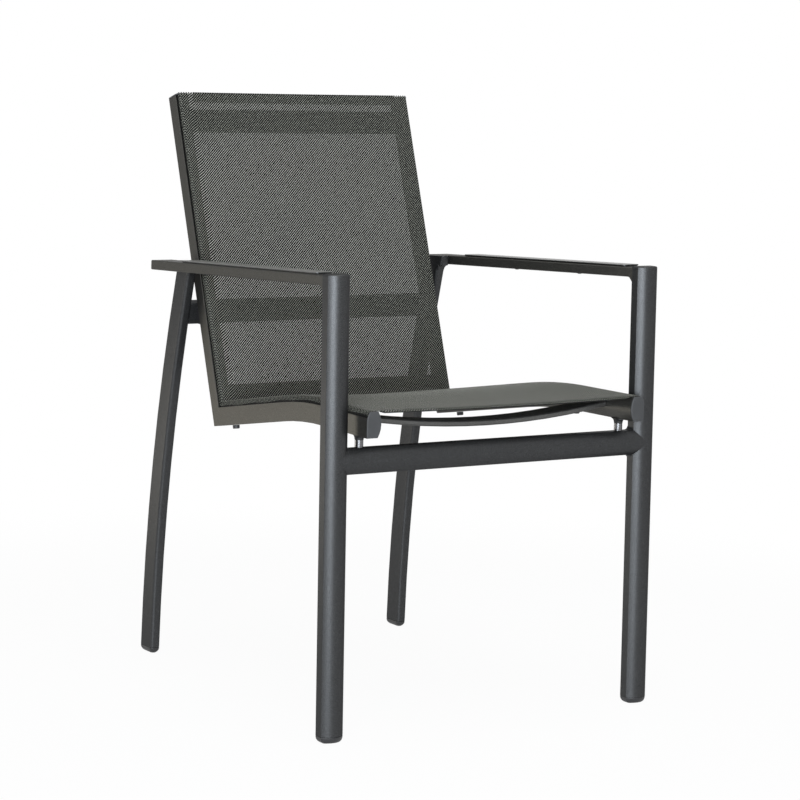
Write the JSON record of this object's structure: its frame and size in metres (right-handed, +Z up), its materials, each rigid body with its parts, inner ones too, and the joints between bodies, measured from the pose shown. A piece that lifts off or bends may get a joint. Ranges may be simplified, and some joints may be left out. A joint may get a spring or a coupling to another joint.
{
  "type": "sling patio chair",
  "caption": "stacking patio armchair with dark metal frame, D-section legs, flat armrests with grey slats, and one woven sling for seat and back",
  "frame": {"origin": "on the floor, in the middle of the chair's footprint (centre of its overall width and depth)", "axes": "+X right as seen from the front, +Y to the back, +Z up; the sitter faces -Y"},
  "size_m": [0.5688, 0.6506, 0.8784],
  "materials": {
    "frame": "charcoal powder coat with a fine metallic grain",
    "slat": "matte grey",
    "fastener": "smooth bright steel",
    "black_plastic": "moulded, satin black",
    "cap_plastic": "moulded, grey",
    "sling_fabric": "open woven polyester mesh, black with grey flecks",
    "hem_cord": "extruded round cord"
  },
  "bodies": {
    "root": {"front_leg_left": "frame", "front_leg_right": "frame", "front_glide_left": "black_plastic", "front_glide_right": "black_plastic", "leg_top_cap_left": "frame", "leg_top_cap_right": "frame", "armrest_left": "frame", "armrest_right": "frame", "arm_slat_left": "slat", "arm_slat_right": "slat", "slat_screw_front_left": "fastener", "slat_screw_front_right": "fastener", "slat_screw_rear_left": "fastener", "slat_screw_rear_right": "fastener", "rear_leg_left": "frame", "rear_leg_right": "frame", "rear_glide_left": "black_plastic", "rear_glide_right": "black_plastic", "front_stretcher": "frame", "spacer_pin_left": "fastener", "spacer_pin_right": "fastener", "spacer_collar_left": "frame", "spacer_collar_right": "frame", "seat_stud_left": "fastener", "seat_stud_right": "fastener", "rear_crossbar": "frame", "back_bolt_left": "fastener", "back_bolt_right": "fastener", "back_wedge_left": "black_plastic", "back_wedge_right": "black_plastic", "side_rail_left": "frame", "side_rail_right": "frame", "rail_front_cap_left": "cap_plastic", "rail_front_cap_right": "cap_plastic", "rail_top_cap_left": "cap_plastic", "rail_top_cap_right": "cap_plastic", "top_back_bar": "frame", "low_back_bar": "frame", "bowed_seat_bar": "frame", "sling": "sling_fabric", "sling_cord_left": "hem_cord", "sling_cord_right": "hem_cord", "bumper_front_left": "black_plastic", "bumper_front_right": "black_plastic", "bumper_rear_left": "black_plastic", "bumper_rear_right": "black_plastic"}
  },
  "joints": []
}
